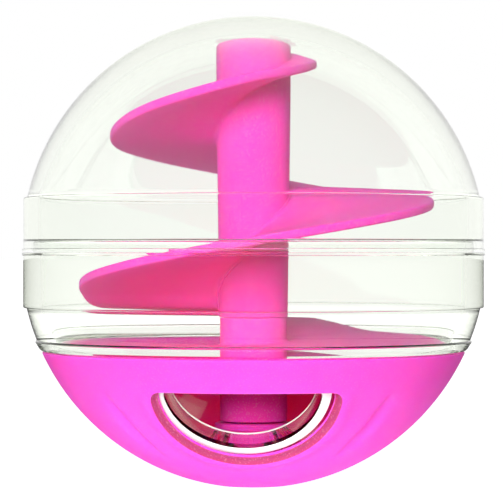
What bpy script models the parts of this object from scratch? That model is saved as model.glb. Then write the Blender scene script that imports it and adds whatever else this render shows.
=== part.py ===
"""A treat ball: a clear two-part sphere around a spiral ramp, with a turning outer bowl as its base.

Sizes are in millimetres and heights are measured from the seam between the two clear halves;
point() turns them into metres above the foot, which is the frame's origin.
"""

import math

import bmesh
import bpy
from mathutils import Matrix, Vector

MM = 0.001
CLEARANCE = 0.3

# The ball's outside: two part-spheres with a straight belt between them.
BALL_RADIUS = 50.0
UPPER_CENTRE = 0.9
LOWER_RADIUS = 50.2
LOWER_CENTRE = -0.7
BELT_RADIUS = 49.65
BELT_HEIGHT = 11.8
SEAM_BEAD_RADIUS = 49.95
FOOT_FLAT_RADIUS = 8.0
FOOT_Z = LOWER_CENTRE - math.sqrt(LOWER_RADIUS ** 2 - FOOT_FLAT_RADIUS ** 2)

# The clear halves: their inner spheres and the lip that the dome slides over.
DOME_INNER_RADIUS = 47.9
DOME_INNER_CENTRE = -0.5
SHELL_INNER_RADIUS = 47.4
SHELL_INNER_CENTRE = 0.5
LIP_HEIGHT = 2.2
LIP_OUTER = 47.55

# The shoulder where the clear shell stands on the bowl's rim.
SHOULDER_Z = -21.2
BEAD_TOP_Z = -18.9
BEAD_PROUD = 0.35
BOWL_INNER_RADIUS = 48.4
NESTED_RADIUS = BOWL_INNER_RADIUS - CLEARANCE

# The ring of snap fingers at the bottom of the clear shell, and the pivot inside it.
FINGER_COUNT = 10
FINGER_OUTER = 10.4
FINGER_INNER = 7.9
FINGER_TOP_Z = -38.6
FINGER_GAP = 1.2
FINGER_ROOT_Z = -43.6
PIVOT_RADIUS = 7.5
PIVOT_TOP_Z = -41.0
FLANGE_RADIUS = 8.45
FLANGE_TOP_Z = -36.8
FLANGE_THICKNESS = 1.5
SCREW_HOLE_RADIUS = 1.65
SCREW_RADIUS = 1.35
SCREW_HEAD_RADIUS = 2.7
SCREW_POCKET_RADIUS = 4.0
SCREW_POCKET_Z = -46.5
CAP_RECESS_RADIUS = 5.5
CAP_RECESS_Z = -49.2

# The windows: a half-moon drawn on the sphere, looking down its middle at WINDOW_TILT below level.
WINDOW_TILT = math.radians(46.0)
WINDOW_ARC_CENTRE = 8.2
BOWL_WINDOW_RADIUS = 18.6
BOWL_WINDOW_TOP_Z = -28.4
BOWL_RECESS_RADIUS = 19.6
BOWL_RECESS_DEPTH = 1.1
SHELL_WINDOW_RADIUS = 17.2
SHELL_WINDOW_TOP_Z = -29.1
SHELL_WINDOW_TURN = math.radians(-1.3)
SHELL_COLLAR_WALL = 1.3
SHELL_COLLAR_DEPTH = 2.4
WINDOW_CORNER = 2.2
WINDOW_POINTS = 36

# The flutes beside the window: azimuth from the front, depth below level and slant, in degrees.
FLUTE_AZIMUTH = 44.5
FLUTE_DIP = 45.4
FLUTE_SLANT = 8.0
FLUTE_HALF_SIZE = (2.6, 9.2, 2.4)
FLUTE_CENTRE_OUT = 1.55

# The column, the sleeve that it stands in and the ramps round them.
COLUMN_TOP_Z = 46.4
COLUMN_BOTTOM_Z = -14.3
COLUMN_TOP_RADIUS = 8.2
COLUMN_BOTTOM_RADIUS = 7.4
SLEEVE_RADIUS = 7.25
SLEEVE_BORE = 5.75
SLEEVE_BOTTOM_Z = -36.5
SPIGOT_RADIUS = SLEEVE_BORE - CLEARANCE
SPIGOT_LENGTH = 6.0
RAMP_THICKNESS = 1.9
RAMP_STEP = 7.5
RAMP_RADIAL_CELLS = 3

# A ramp's stations: turn in degrees clockwise seen from above, height of its top, edge radius.
# Turn 0 lies RAMP_HEADING degrees anticlockwise of +X.
RAMP_HEADING = 2.3
SPIRAL_STATIONS = (
    (-60, 46.0, 10.0),
    (-40, 45.6, 10.5),
    (-25, 44.9, 11.2),
    (-10, 43.8, 12.2),
    (10, 42.3, 13.9),
    (29, 41.2, 14.7),
    (49, 39.9, 16.5),
    (63, 38.9, 18.3),
    (90, 36.9, 22.4),
    (133, 32.2, 27.2),
    (180, 27.2, 31.2),
    (226, 24.0, 34.2),
    (257, 21.2, 36.0),
    (284, 17.8, 37.1),
    (318, 14.1, 38.2),
    (340, 12.7, 38.8),
    (360, 11.8, 39.0),
    (405, 8.0, 38.7),
    (450, 3.2, 38.4),
    (495, -2.0, 38.2),
    (540, -7.2, 37.6),
    (550, -9.2, 37.5),
    (560, -10.4, 37.3),
    (580, -11.0, 37.0),
    (618, -12.0, 36.8),
)
FLOOR_STATIONS = (
    (622, -14.9, 37.2),
    (642, -15.4, 38.4),
    (658, -17.4, 40.0),
    (670, -19.2, 41.0),
    (684, -19.6, 41.2),
    (720, -19.9, 41.2),
    (810, -20.4, 41.2),
    (900, -20.9, 41.1),
    (925, -21.0, 41.1),
)
FLOOR_RIM_TOP_Z = -21.2
FLOOR_RIM_BOTTOM_Z = -23.0
FLOOR_RIM_INNER = 38.5
FLOOR_THICKNESS = 1.7

TURN_STEPS = 48
SMALL_TURN_STEPS = 32
MERGE = 0.00001


def point(x, y, z):
    """A point given in millimetres from the seam's centre, in metres from the foot."""
    return Vector((x * MM, y * MM, (z - FOOT_Z) * MM))


def clear_scene():
    for item in list(bpy.data.objects):
        bpy.data.objects.remove(item)


def new_collection(name):
    collection = bpy.data.collections.new(name)
    bpy.context.scene.collection.children.link(collection)
    return collection


def material(name, colour, roughness, metallic=0.0, transmission=0.0):
    made = bpy.data.materials.new(name)
    made.use_nodes = True
    shader = made.node_tree.nodes["Principled BSDF"]
    shader.inputs["Base Color"].default_value = (*colour, 1.0)
    shader.inputs["Roughness"].default_value = roughness
    shader.inputs["Metallic"].default_value = metallic
    shader.inputs["Transmission Weight"].default_value = transmission
    made.diffuse_color = (*colour, 1.0 - 0.7 * transmission)
    return made


def add_mesh(name, vertices, edges, faces, collection, look=None):
    mesh = bpy.data.meshes.new(name)
    mesh.from_pydata(vertices, edges, faces)
    mesh.update()
    made = bpy.data.objects.new(name, mesh)
    collection.objects.link(made)
    if look is not None:
        mesh.materials.append(look)
    return made


def make_cutter(item):
    """Keeps a helper out of the model: Booleans use it, and it isn't a part of the ball."""
    item.hide_render = True
    item.display_type = "WIRE"
    return item


def boolean(target, operation, other):
    step = target.modifiers.new(other.name, "BOOLEAN")
    step.operation = operation
    step.solver = "EXACT"
    step.object = other


def circle_radius(radius, centre, z):
    """The radius at height z of a sphere with its centre on the axis."""
    return math.sqrt(max(radius ** 2 - (z - centre) ** 2, 0.0))


def sphere_arc(radius, centre, z_from, z_to, count):
    """Points (radius, height) along a sphere's side from one height to another."""
    first = math.asin(max(-1.0, min(1.0, (z_from - centre) / radius)))
    last = math.asin(max(-1.0, min(1.0, (z_to - centre) / radius)))
    angles = [first + (last - first) * i / (count - 1) for i in range(count)]
    return [(radius * math.cos(a), centre + radius * math.sin(a)) for a in angles]


def sphere_arc_to_radius(radius, centre, z_from, r_to, count):
    """The same arc, going down to where the sphere has the radius r_to."""
    return sphere_arc(radius, centre, z_from, centre - math.sqrt(radius ** 2 - r_to ** 2), count)


def turned(name, profile, steps, collection, look=None, closed=False):
    """A body of revolution about +Z. The profile runs down its outer side, and a closed one is a loop."""
    vertices = [point(r, 0.0, z) for r, z in profile]
    edges = [(i, i + 1) for i in range(len(profile) - 1)]
    if closed:
        edges.append((len(profile) - 1, 0))
    made = add_mesh(name, vertices, edges, [], collection, look)
    screw = made.modifiers.new("turn", "SCREW")
    screw.axis = "Z"
    screw.steps = steps
    screw.render_steps = steps
    screw.use_merge_vertices = True
    screw.merge_threshold = MERGE
    screw.use_smooth_shade = True
    return made


# ---- windows -----------------------------------------------------------------------------------


def half_moon(arc_radius, top_z):
    """Outline (across, up) of a half-moon: an arc below, a level edge above, rounded where they meet.

    The outline lies on the lower sphere and is seen along the window's own axis.
    """

    def room(u, v):
        in_arc = arc_radius - math.hypot(u, v - WINDOW_ARC_CENTRE)
        outward = math.sqrt(max(LOWER_RADIUS ** 2 - u * u - v * v, 0.0))
        height = LOWER_CENTRE + v * math.cos(WINDOW_TILT) - outward * math.sin(WINDOW_TILT)
        under_top = top_z - height
        blend = max(WINDOW_CORNER - abs(in_arc - under_top), 0.0) / WINDOW_CORNER
        return min(in_arc, under_top) - blend * blend * WINDOW_CORNER / 4.0

    outline = []
    for i in range(WINDOW_POINTS):
        angle = 2.0 * math.pi * i / WINDOW_POINTS
        near, far = 0.0, 2.0 * arc_radius
        for _ in range(40):
            middle = (near + far) / 2.0
            inside = room(middle * math.cos(angle), 1.0 + middle * math.sin(angle)) > 0.0
            near, far = (middle, far) if inside else (near, middle)
        outline.append((near * math.cos(angle), 1.0 + near * math.sin(angle)))
    return outline


def window_loft(name, levels, collection, look=None):
    """A closed plug through the wall. Each level is (distance from the sphere's centre, outline)."""
    across = Vector((1.0, 0.0, 0.0))
    outward = Vector((0.0, -math.cos(WINDOW_TILT), -math.sin(WINDOW_TILT)))
    upward = Vector((0.0, -math.sin(WINDOW_TILT), math.cos(WINDOW_TILT)))
    vertices = []
    for distance, outline in levels:
        for u, v in outline:
            w = math.sqrt(LOWER_RADIUS ** 2 - u * u - v * v)
            direction = (across * u + upward * v + outward * w) / LOWER_RADIUS
            spot = direction * distance
            vertices.append(point(spot.x, spot.y, spot.z + LOWER_CENTRE))
    count = WINDOW_POINTS
    faces = []
    for level in range(len(levels) - 1):
        for i in range(count):
            j = (i + 1) % count
            low, high = level * count, (level + 1) * count
            faces.append((low + i, low + j, high + j, high + i))
    faces.append(tuple(reversed(range(count))))
    faces.append(tuple(range((len(levels) - 1) * count, len(levels) * count)))
    made = add_mesh(name, vertices, [], faces, collection, look)
    fix = bmesh.new()
    fix.from_mesh(made.data)
    bmesh.ops.recalc_face_normals(fix, faces=fix.faces)
    bmesh.ops.triangulate(fix, faces=[f for f in fix.faces if len(f.verts) > 4])
    fix.to_mesh(made.data)
    fix.free()
    return made


def flute_cutter(side, collection):
    """An egg-shaped tool that leaves a leaf-shaped hollow in the bowl; side is -1 or 1."""
    bpy.ops.mesh.primitive_uv_sphere_add(segments=24, ring_count=14, radius=MM)
    tool = bpy.context.object
    tool.name = "flute_left" if side < 0 else "flute_right"
    for owner in list(tool.users_collection):
        owner.objects.unlink(tool)
    collection.objects.link(tool)
    tool.data.transform(Matrix.Diagonal((*FLUTE_HALF_SIZE, 1.0)))
    azimuth = math.radians(FLUTE_AZIMUTH) * side
    tilt = math.radians(FLUTE_DIP)
    outward = Vector((math.sin(azimuth) * math.cos(tilt), -math.cos(azimuth) * math.cos(tilt), -math.sin(tilt)))
    across = Vector((math.cos(azimuth), math.sin(azimuth), 0.0))
    along = outward.cross(across)
    turn = Matrix((across, along, outward)).transposed().to_4x4()
    slant = Matrix.Rotation(math.radians(-FLUTE_SLANT * side), 4, "Z")
    spot = outward * (LOWER_RADIUS + FLUTE_CENTRE_OUT)
    place = Matrix.Translation(point(spot.x, spot.y, spot.z + LOWER_CENTRE))
    tool.data.transform(place @ turn @ slant)
    return make_cutter(tool)


# ---- ramps -------------------------------------------------------------------------------------


def station_at(stations, turn):
    """(height, radius) of a ramp at a turn, on a smooth curve through its stations."""
    last = len(stations) - 1
    k = max(i for i in range(last) if stations[i][0] <= turn or i == 0)
    left, right = stations[k], stations[k + 1]
    before, after = stations[max(k - 1, 0)], stations[min(k + 2, last)]
    span = right[0] - left[0]
    t = (turn - left[0]) / span
    out = []
    for axis in (1, 2):
        slope_in = (right[axis] - before[axis]) / (right[0] - before[0]) * span
        slope_out = (after[axis] - left[axis]) / (after[0] - left[0]) * span
        out.append(
            (2 * t ** 3 - 3 * t ** 2 + 1) * left[axis]
            + (t ** 3 - 2 * t ** 2 + t) * slope_in
            + (3 * t ** 2 - 2 * t ** 3) * right[axis]
            + (t ** 3 - t ** 2) * slope_out
        )
    return out


def ramp(name, stations, root_radius, thickness, collection):
    """A spiral slide: an open sheet whose straight edges run level out of the column, made solid."""
    first, last = stations[0][0], stations[-1][0]
    count = math.ceil((last - first) / RAMP_STEP)
    vertices, faces = [], []
    for i in range(count + 1):
        turn = first + (last - first) * i / count
        height, edge = station_at(stations, turn)
        angle = math.radians(RAMP_HEADING - turn)
        for j in range(RAMP_RADIAL_CELLS + 1):
            r = root_radius + (edge - root_radius) * j / RAMP_RADIAL_CELLS
            vertices.append(point(r * math.cos(angle), r * math.sin(angle), height))
    row = RAMP_RADIAL_CELLS + 1
    for i in range(count):
        for j in range(RAMP_RADIAL_CELLS):
            a, b = i * row + j, (i + 1) * row + j
            faces.append((a, b, b + 1, a + 1))
    made = add_mesh(name, vertices, [], faces, collection)
    sheet = bmesh.new()
    sheet.from_mesh(made.data)
    sheet.faces.ensure_lookup_table()
    if sheet.faces[0].normal.z < 0.0:
        bmesh.ops.reverse_faces(sheet, faces=sheet.faces)
    sheet.to_mesh(made.data)
    sheet.free()
    solid = made.modifiers.new("thickness", "SOLIDIFY")
    solid.thickness = thickness * MM
    solid.offset = -1.0
    return make_cutter(made)


# ---- the parts ---------------------------------------------------------------------------------


def build_top_dome(parts, look):
    rim_z = CLEARANCE / 2.0
    crown = UPPER_CENTRE + BALL_RADIUS
    inner_crown = DOME_INNER_CENTRE + DOME_INNER_RADIUS
    belt_inner = circle_radius(DOME_INNER_RADIUS, DOME_INNER_CENTRE, BELT_HEIGHT)
    rebate_r, rebate_z = LIP_OUTER + CLEARANCE, LIP_HEIGHT + CLEARANCE
    profile = sphere_arc(BALL_RADIUS, UPPER_CENTRE, crown, BELT_HEIGHT, 15)
    profile += [(BELT_RADIUS, BELT_HEIGHT - 0.2), (BELT_RADIUS, 0.75)]
    profile += [(SEAM_BEAD_RADIUS, 0.65), (SEAM_BEAD_RADIUS, rim_z)]
    profile += [(rebate_r, rim_z), (rebate_r, rebate_z), (belt_inner, rebate_z)]
    profile += sphere_arc(DOME_INNER_RADIUS, DOME_INNER_CENTRE, BELT_HEIGHT, inner_crown, 14)
    profile[0] = (0.0, crown)
    profile[-1] = (0.0, inner_crown)
    return turned("top_dome", profile, TURN_STEPS, parts, look)


def build_lower_shell(parts, tools, look):
    rim_z = -CLEARANCE / 2.0
    bead_top = circle_radius(LOWER_RADIUS, LOWER_CENTRE, BEAD_TOP_Z)
    bead_low = circle_radius(LOWER_RADIUS, LOWER_CENTRE, SHOULDER_Z)
    belt_inner = circle_radius(SHELL_INNER_RADIUS, SHELL_INNER_CENTRE, -BELT_HEIGHT)
    profile = [(belt_inner, LIP_HEIGHT), (LIP_OUTER, LIP_HEIGHT), (LIP_OUTER, rim_z)]
    profile += [(SEAM_BEAD_RADIUS, rim_z), (SEAM_BEAD_RADIUS, -0.65), (BELT_RADIUS, -0.75)]
    profile += [(BELT_RADIUS, -BELT_HEIGHT - 0.2)]
    profile += sphere_arc(LOWER_RADIUS, LOWER_CENTRE, -BELT_HEIGHT - 0.4, BEAD_TOP_Z, 4)
    profile += [(bead_top + BEAD_PROUD - 0.1, BEAD_TOP_Z - 0.4), (bead_low + BEAD_PROUD, SHOULDER_Z + 0.5)]
    profile += [(bead_low, SHOULDER_Z)]
    profile += sphere_arc_to_radius(NESTED_RADIUS, LOWER_CENTRE, SHOULDER_Z, FINGER_INNER, 10)
    profile += [(FINGER_INNER, FINGER_TOP_Z), (FINGER_OUTER - 0.4, FINGER_TOP_Z)]
    profile += [(FINGER_OUTER, FINGER_TOP_Z - 0.4)]
    inner = sphere_arc_to_radius(SHELL_INNER_RADIUS, SHELL_INNER_CENTRE, -BELT_HEIGHT, FINGER_OUTER, 12)
    profile += list(reversed(inner))
    shell = turned("lower_shell", profile, TURN_STEPS, parts, look, closed=True)

    opening = half_moon(SHELL_WINDOW_RADIUS, SHELL_WINDOW_TOP_Z)
    collar = half_moon(SHELL_WINDOW_RADIUS + SHELL_COLLAR_WALL, SHELL_WINDOW_TOP_Z + SHELL_COLLAR_WALL)
    collar_levels = [(NESTED_RADIUS - 1.6 - SHELL_COLLAR_DEPTH, collar), (NESTED_RADIUS - 0.5, collar)]
    block = make_cutter(window_loft("window_collar", collar_levels, tools))
    hole_levels = [(NESTED_RADIUS - 9.0, opening), (NESTED_RADIUS + 8.0, opening)]
    hole = make_cutter(window_loft("shell_window", hole_levels, tools))
    for tool in (block, hole):
        tool.data.transform(Matrix.Rotation(SHELL_WINDOW_TURN, 4, "Z"))
    boolean(shell, "UNION", block)
    boolean(shell, "DIFFERENCE", hole)

    for i in range(FINGER_COUNT // 2):
        bpy.ops.mesh.primitive_cube_add(size=1.0)
        slot = bpy.context.object
        slot.name = f"finger_slot_{i + 1}"
        for owner in list(slot.users_collection):
            owner.objects.unlink(slot)
        tools.objects.link(slot)
        length = 2.0 * FINGER_OUTER + 4.0
        depth = FINGER_TOP_Z - FINGER_ROOT_Z + 2.0
        slot.data.transform(Matrix.Diagonal((length * MM, FINGER_GAP * MM, depth * MM, 1.0)))
        turn = math.pi * (i + 0.5) / (FINGER_COUNT // 2)
        centre = point(0.0, 0.0, FINGER_ROOT_Z + depth / 2.0)
        slot.data.transform(Matrix.Translation(centre) @ Matrix.Rotation(turn, 4, "Z"))
        boolean(shell, "DIFFERENCE", make_cutter(slot))
    return shell


def build_outer_bowl(parts, tools, look):
    rim_z = SHOULDER_Z - CLEARANCE
    rim_outer = circle_radius(LOWER_RADIUS, LOWER_CENTRE, rim_z)
    rim_inner = circle_radius(BOWL_INNER_RADIUS, LOWER_CENTRE, rim_z)
    profile = [(rim_outer - 0.3, rim_z)]
    profile += sphere_arc_to_radius(LOWER_RADIUS, LOWER_CENTRE, rim_z - 0.3, FOOT_FLAT_RADIUS, 11)
    profile += [(CAP_RECESS_RADIUS, FOOT_Z), (CAP_RECESS_RADIUS, CAP_RECESS_Z)]
    profile += [(SCREW_POCKET_RADIUS, CAP_RECESS_Z), (SCREW_POCKET_RADIUS, SCREW_POCKET_Z)]
    profile += [(SCREW_HOLE_RADIUS, SCREW_POCKET_Z), (SCREW_HOLE_RADIUS, PIVOT_TOP_Z)]
    profile += [(PIVOT_RADIUS, PIVOT_TOP_Z)]
    inner = sphere_arc_to_radius(BOWL_INNER_RADIUS, LOWER_CENTRE, rim_z, PIVOT_RADIUS, 10)
    profile += list(reversed(inner))
    profile[-1] = (rim_inner, rim_z)
    bowl = turned("outer_bowl", profile, TURN_STEPS, parts, look, closed=True)

    opening = half_moon(BOWL_WINDOW_RADIUS, BOWL_WINDOW_TOP_Z)
    recess = half_moon(BOWL_RECESS_RADIUS, BOWL_WINDOW_TOP_Z)
    levels = [(BOWL_INNER_RADIUS - 6.0, opening), (LOWER_RADIUS - BOWL_RECESS_DEPTH, opening)]
    levels += [(LOWER_RADIUS, recess), (LOWER_RADIUS + 9.0, recess)]
    boolean(bowl, "DIFFERENCE", make_cutter(window_loft("bowl_window", levels, tools)))
    for side in (-1, 1):
        boolean(bowl, "DIFFERENCE", flute_cutter(side, tools))
    return bowl


def build_spiral_column(parts, tools, look):
    spigot_z = COLUMN_BOTTOM_Z - SPIGOT_LENGTH
    profile = [(0.0, COLUMN_TOP_Z), (COLUMN_TOP_RADIUS - 0.5, COLUMN_TOP_Z)]
    profile += [(COLUMN_TOP_RADIUS, COLUMN_TOP_Z - 0.5), (COLUMN_BOTTOM_RADIUS, COLUMN_BOTTOM_Z)]
    profile += [(SPIGOT_RADIUS, COLUMN_BOTTOM_Z), (SPIGOT_RADIUS, spigot_z + 0.5)]
    profile += [(SPIGOT_RADIUS - 0.5, spigot_z), (4.2, spigot_z), (4.2, COLUMN_BOTTOM_Z)]
    profile += [(5.8, COLUMN_BOTTOM_Z + 2.5), (6.5, COLUMN_TOP_Z - 1.8), (0.0, COLUMN_TOP_Z - 1.8)]
    column = turned("spiral_column", profile, SMALL_TURN_STEPS, parts, look)
    boolean(column, "UNION", ramp("spiral_ramp", SPIRAL_STATIONS, 6.95, RAMP_THICKNESS, tools))
    return column


def build_ramp_floor(parts, tools, look):
    top_z = COLUMN_BOTTOM_Z - CLEARANCE
    profile = [(0.0, SLEEVE_BOTTOM_Z + 1.5), (SLEEVE_BORE, SLEEVE_BOTTOM_Z + 1.5)]
    profile += [(SLEEVE_BORE, top_z), (SLEEVE_RADIUS, top_z)]
    profile += [(SLEEVE_RADIUS, SLEEVE_BOTTOM_Z + 0.3), (SLEEVE_RADIUS - 0.3, SLEEVE_BOTTOM_Z)]
    profile += [(0.0, SLEEVE_BOTTOM_Z)]
    floor = turned("ramp_floor", profile, SMALL_TURN_STEPS, parts, look)

    def seat(z):
        return circle_radius(SHELL_INNER_RADIUS, SHELL_INNER_CENTRE, z) - CLEARANCE

    rim = [(seat(FLOOR_RIM_TOP_Z), FLOOR_RIM_TOP_Z), (seat(FLOOR_RIM_BOTTOM_Z), FLOOR_RIM_BOTTOM_Z)]
    rim += [(FLOOR_RIM_INNER, FLOOR_RIM_BOTTOM_Z), (FLOOR_RIM_INNER, FLOOR_RIM_TOP_Z)]
    ring = make_cutter(turned("floor_rim", rim, TURN_STEPS, tools, closed=True))
    boolean(floor, "UNION", ring)
    boolean(floor, "UNION", ramp("floor_ramp", FLOOR_STATIONS, 6.6, FLOOR_THICKNESS, tools))
    return floor


def build_pivot_collar(parts, look):
    flange_low = FLANGE_TOP_Z - FLANGE_THICKNESS
    bush_low = PIVOT_TOP_Z + CLEARANCE
    bore_top = FLANGE_TOP_Z - 0.9
    profile = [(0.0, FLANGE_TOP_Z), (FLANGE_RADIUS - 0.5, FLANGE_TOP_Z)]
    profile += [(FLANGE_RADIUS, FLANGE_TOP_Z - 0.5), (FLANGE_RADIUS, flange_low)]
    profile += [(PIVOT_RADIUS, flange_low), (PIVOT_RADIUS, bush_low)]
    profile += [(SCREW_HOLE_RADIUS, bush_low), (SCREW_HOLE_RADIUS, bore_top), (0.0, bore_top)]
    return turned("pivot_collar", profile, SMALL_TURN_STEPS, parts, look)


def build_pivot_screw(parts, tools, look):
    head_top = SCREW_POCKET_Z - 1.1
    tip = FLANGE_TOP_Z - 1.3
    profile = [(0.0, tip), (0.7, tip - 0.2), (SCREW_RADIUS, tip - 1.2), (SCREW_RADIUS, head_top)]
    profile += [(SCREW_HEAD_RADIUS, head_top), (SCREW_HEAD_RADIUS, head_top - 0.8)]
    profile += [(SCREW_HEAD_RADIUS - 0.5, head_top - 1.25), (0.0, head_top - 1.4)]
    screw = turned("pivot_screw", profile, 24, parts, look)
    for i in range(2):
        bpy.ops.mesh.primitive_cube_add(size=1.0)
        slot = bpy.context.object
        slot.name = f"driver_slot_{i + 1}"
        for owner in list(slot.users_collection):
            owner.objects.unlink(slot)
        tools.objects.link(slot)
        slot.data.transform(Matrix.Diagonal((3.2 * MM, 0.7 * MM, 1.8 * MM, 1.0)))
        centre = point(0.0, 0.0, head_top - 1.6)
        slot.data.transform(Matrix.Translation(centre) @ Matrix.Rotation(math.pi / 2 * i, 4, "Z"))
        boolean(screw, "DIFFERENCE", make_cutter(slot))
    return screw


def build_screw_washer(parts, look):
    top = SCREW_POCKET_Z - CLEARANCE
    low = top - 0.5
    profile = [(3.6, top), (3.6, low), (1.75, low), (1.75, top)]
    return turned("screw_washer", profile, SMALL_TURN_STEPS, parts, look, closed=True)


def build_screw_cap(parts, look):
    radius = CAP_RECESS_RADIUS - CLEARANCE
    top = CAP_RECESS_Z - CLEARANCE
    profile = [(0.0, top), (radius, top), (radius, FOOT_Z), (0.0, FOOT_Z)]
    return turned("screw_cap", profile, SMALL_TURN_STEPS, parts, look)


def main():
    clear_scene()
    parts = new_collection("treat_ball")
    tools = new_collection("cutters")
    clear_plastic = material("clear_plastic", (0.93, 0.96, 0.93), 0.05, transmission=1.0)
    pink_plastic = material("pink_plastic", (0.95, 0.20, 0.78), 0.35)
    steel = material("steel", (0.60, 0.60, 0.62), 0.30, metallic=1.0)
    build_top_dome(parts, clear_plastic)
    build_lower_shell(parts, tools, clear_plastic)
    build_outer_bowl(parts, tools, pink_plastic)
    build_spiral_column(parts, tools, pink_plastic)
    build_ramp_floor(parts, tools, pink_plastic)
    build_pivot_collar(parts, pink_plastic)
    build_pivot_screw(parts, tools, steel)
    build_screw_washer(parts, steel)
    build_screw_cap(parts, pink_plastic)


main()
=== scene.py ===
"""Looks for the treat ball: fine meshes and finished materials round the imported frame.

Sizes are in millimetres, with heights from the seam between the clear halves. rows() turns them
into metres in the frame's own coordinates. Sizes in materials and in the studio are in metres.
"""

import math

import bmesh
import bpy
import numpy as np
from mathutils import Matrix, Vector


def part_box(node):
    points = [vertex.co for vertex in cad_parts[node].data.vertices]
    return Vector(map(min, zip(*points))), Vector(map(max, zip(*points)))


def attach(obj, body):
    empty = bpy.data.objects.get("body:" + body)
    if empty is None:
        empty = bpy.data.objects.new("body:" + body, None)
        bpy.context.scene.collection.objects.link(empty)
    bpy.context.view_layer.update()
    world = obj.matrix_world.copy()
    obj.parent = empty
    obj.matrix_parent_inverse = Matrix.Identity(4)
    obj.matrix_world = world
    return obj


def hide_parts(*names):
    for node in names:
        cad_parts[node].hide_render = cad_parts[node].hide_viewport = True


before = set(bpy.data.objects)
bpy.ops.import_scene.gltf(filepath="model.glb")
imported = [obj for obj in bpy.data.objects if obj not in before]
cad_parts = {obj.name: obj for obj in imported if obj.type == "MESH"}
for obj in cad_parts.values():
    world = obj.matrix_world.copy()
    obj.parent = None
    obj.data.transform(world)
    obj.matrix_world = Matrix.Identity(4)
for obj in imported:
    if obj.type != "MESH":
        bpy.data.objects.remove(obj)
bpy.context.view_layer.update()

MM = 0.001
GAP = 0.3
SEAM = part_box("top_dome")[0].z / MM - GAP / 2.0


def top_of(node):
    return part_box(node)[1].z / MM - SEAM


def low_of(node):
    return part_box(node)[0].z / MM - SEAM


def reach_of(node):
    """How far a node reaches from the ball's axis to the right."""
    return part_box(node)[1].x / MM


# Driving sizes that the frame gives.
CROWN_Z = top_of("top_dome")
SEAM_BEAD_RADIUS = reach_of("top_dome")
FOOT_Z = low_of("outer_bowl")
COLUMN_TOP_Z = top_of("spiral_column")
SPIGOT_BOTTOM_Z = low_of("spiral_column")
SLEEVE_BOTTOM_Z = low_of("ramp_floor")
FLANGE_TOP_Z = top_of("pivot_collar")
FLANGE_RADIUS = reach_of("pivot_collar")
LIP_TOP_Z = top_of("lower_shell")

# The ball's outside.
BALL_RADIUS = 50.0
UPPER_CENTRE = CROWN_Z - BALL_RADIUS
LOWER_RADIUS = 50.2
LOWER_CENTRE = -0.7
BELT_RADIUS = 49.65
BELT_HEIGHT = 11.8
BELT_LEDGE_RUN = 0.2
BELT_LEDGE_DROP = 0.12
SEAM_BEAD_FLANK_Z = 0.65
SEAM_BEAD_ROOT_Z = 0.75

# The clear halves.
DOME_INNER_RADIUS = 47.9
DOME_INNER_CENTRE = -0.5
SHELL_INNER_RADIUS = 47.4
SHELL_INNER_CENTRE = 0.5
LIP_OUTER = 47.5
SHOULDER_Z = -21.2
BEAD_TOP_Z = -18.9
BEAD_PROUD = 0.35
BEAD_TOP_SLOPE = 0.35
BEAD_LOW_SLOPE = 0.4
BOWL_INNER_RADIUS = 48.4
NESTED_RADIUS = BOWL_INNER_RADIUS - GAP

# The snap fingers and the pivot.
FINGER_COUNT = 10
FINGER_OUTER = 10.4
FINGER_INNER = 7.9
FINGER_TOP_Z = FLANGE_TOP_Z - 1.8
FINGER_GAP = 1.2
FINGER_ROOT_Z = -43.6
PIVOT_RADIUS = 7.5
PIVOT_TOP_Z = -41.0
FLANGE_THICKNESS = 1.5
SCREW_HOLE_RADIUS = 1.65
SCREW_POCKET_RADIUS = 4.0
SCREW_POCKET_Z = -46.5
CAP_RECESS_RADIUS = 5.5
CAP_RECESS_Z = -49.2
FOOT_FLAT_RADIUS = 8.0

# The windows, drawn on the sphere round an axis that looks WINDOW_TILT below level.
WINDOW_TILT = math.radians(46.0)
WINDOW_ARC_CENTRE = 8.2
BOWL_WINDOW_RADIUS = 18.6
BOWL_WINDOW_TOP_Z = -28.4
BOWL_RECESS_RADIUS = 19.6
BOWL_RECESS_DEPTH = 1.1
SHELL_WINDOW_RADIUS = 17.2
SHELL_WINDOW_TOP_Z = -29.1
SHELL_WINDOW_TURN = math.radians(-1.3)
SHELL_NESTED_WALL = 1.6
SHELL_COLLAR_WALL = 1.3
SHELL_COLLAR_DEPTH = 2.4
SHELL_COLLAR_SINK = 0.5
SHELL_HOLE_BEVEL = 0.35
WINDOW_CORNER = 2.2
WINDOW_POINTS = 180
BOWL_WINDOW_BEVEL = 0.3
SHELL_PLUG_REACH = 4.0
BOWL_PLUG_REACH = 6.0
# Across the recess, from the window's edge (0) to its outline (1), and how far it has risen there.
RECESS_SECTION = ((0.0, 0.0), (0.5, 0.03), (0.75, 0.15), (0.9, 0.45), (1.0, 1.0), (1.1, 1.6))
BORDER_STEPS = (1.8, 1.2, 0.6, 0.0, -0.6)
BORDER_DEPTH = 0.6
BORDER_PROUD = 0.03

# The raised sill below the bowl's window: it runs beside the recess and fades out towards its top.
SILL_PROUD = 0.32
SILL_OFFSET = 1.2
SILL_SPREAD = 1.5
SILL_FADE_HEIGHT = 6.5
SILL_FADE_SPAN = 1.2

# The flutes: azimuth from the front, dip below level and slant, in degrees.
FLUTE_AZIMUTH = 43.3
FLUTE_DIP = 45.4
FLUTE_SLANT = 8.0
FLUTE_HALF_LENGTH = 9.6
FLUTE_DEPTH = 1.1
FLUTE_STEEP_WIDTH = 0.7
FLUTE_GENTLE_WIDTH = 2.1

# Sill and flutes move only what lies this close to the bowl's outside.
SKIN_DEPTH = 0.2

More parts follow.
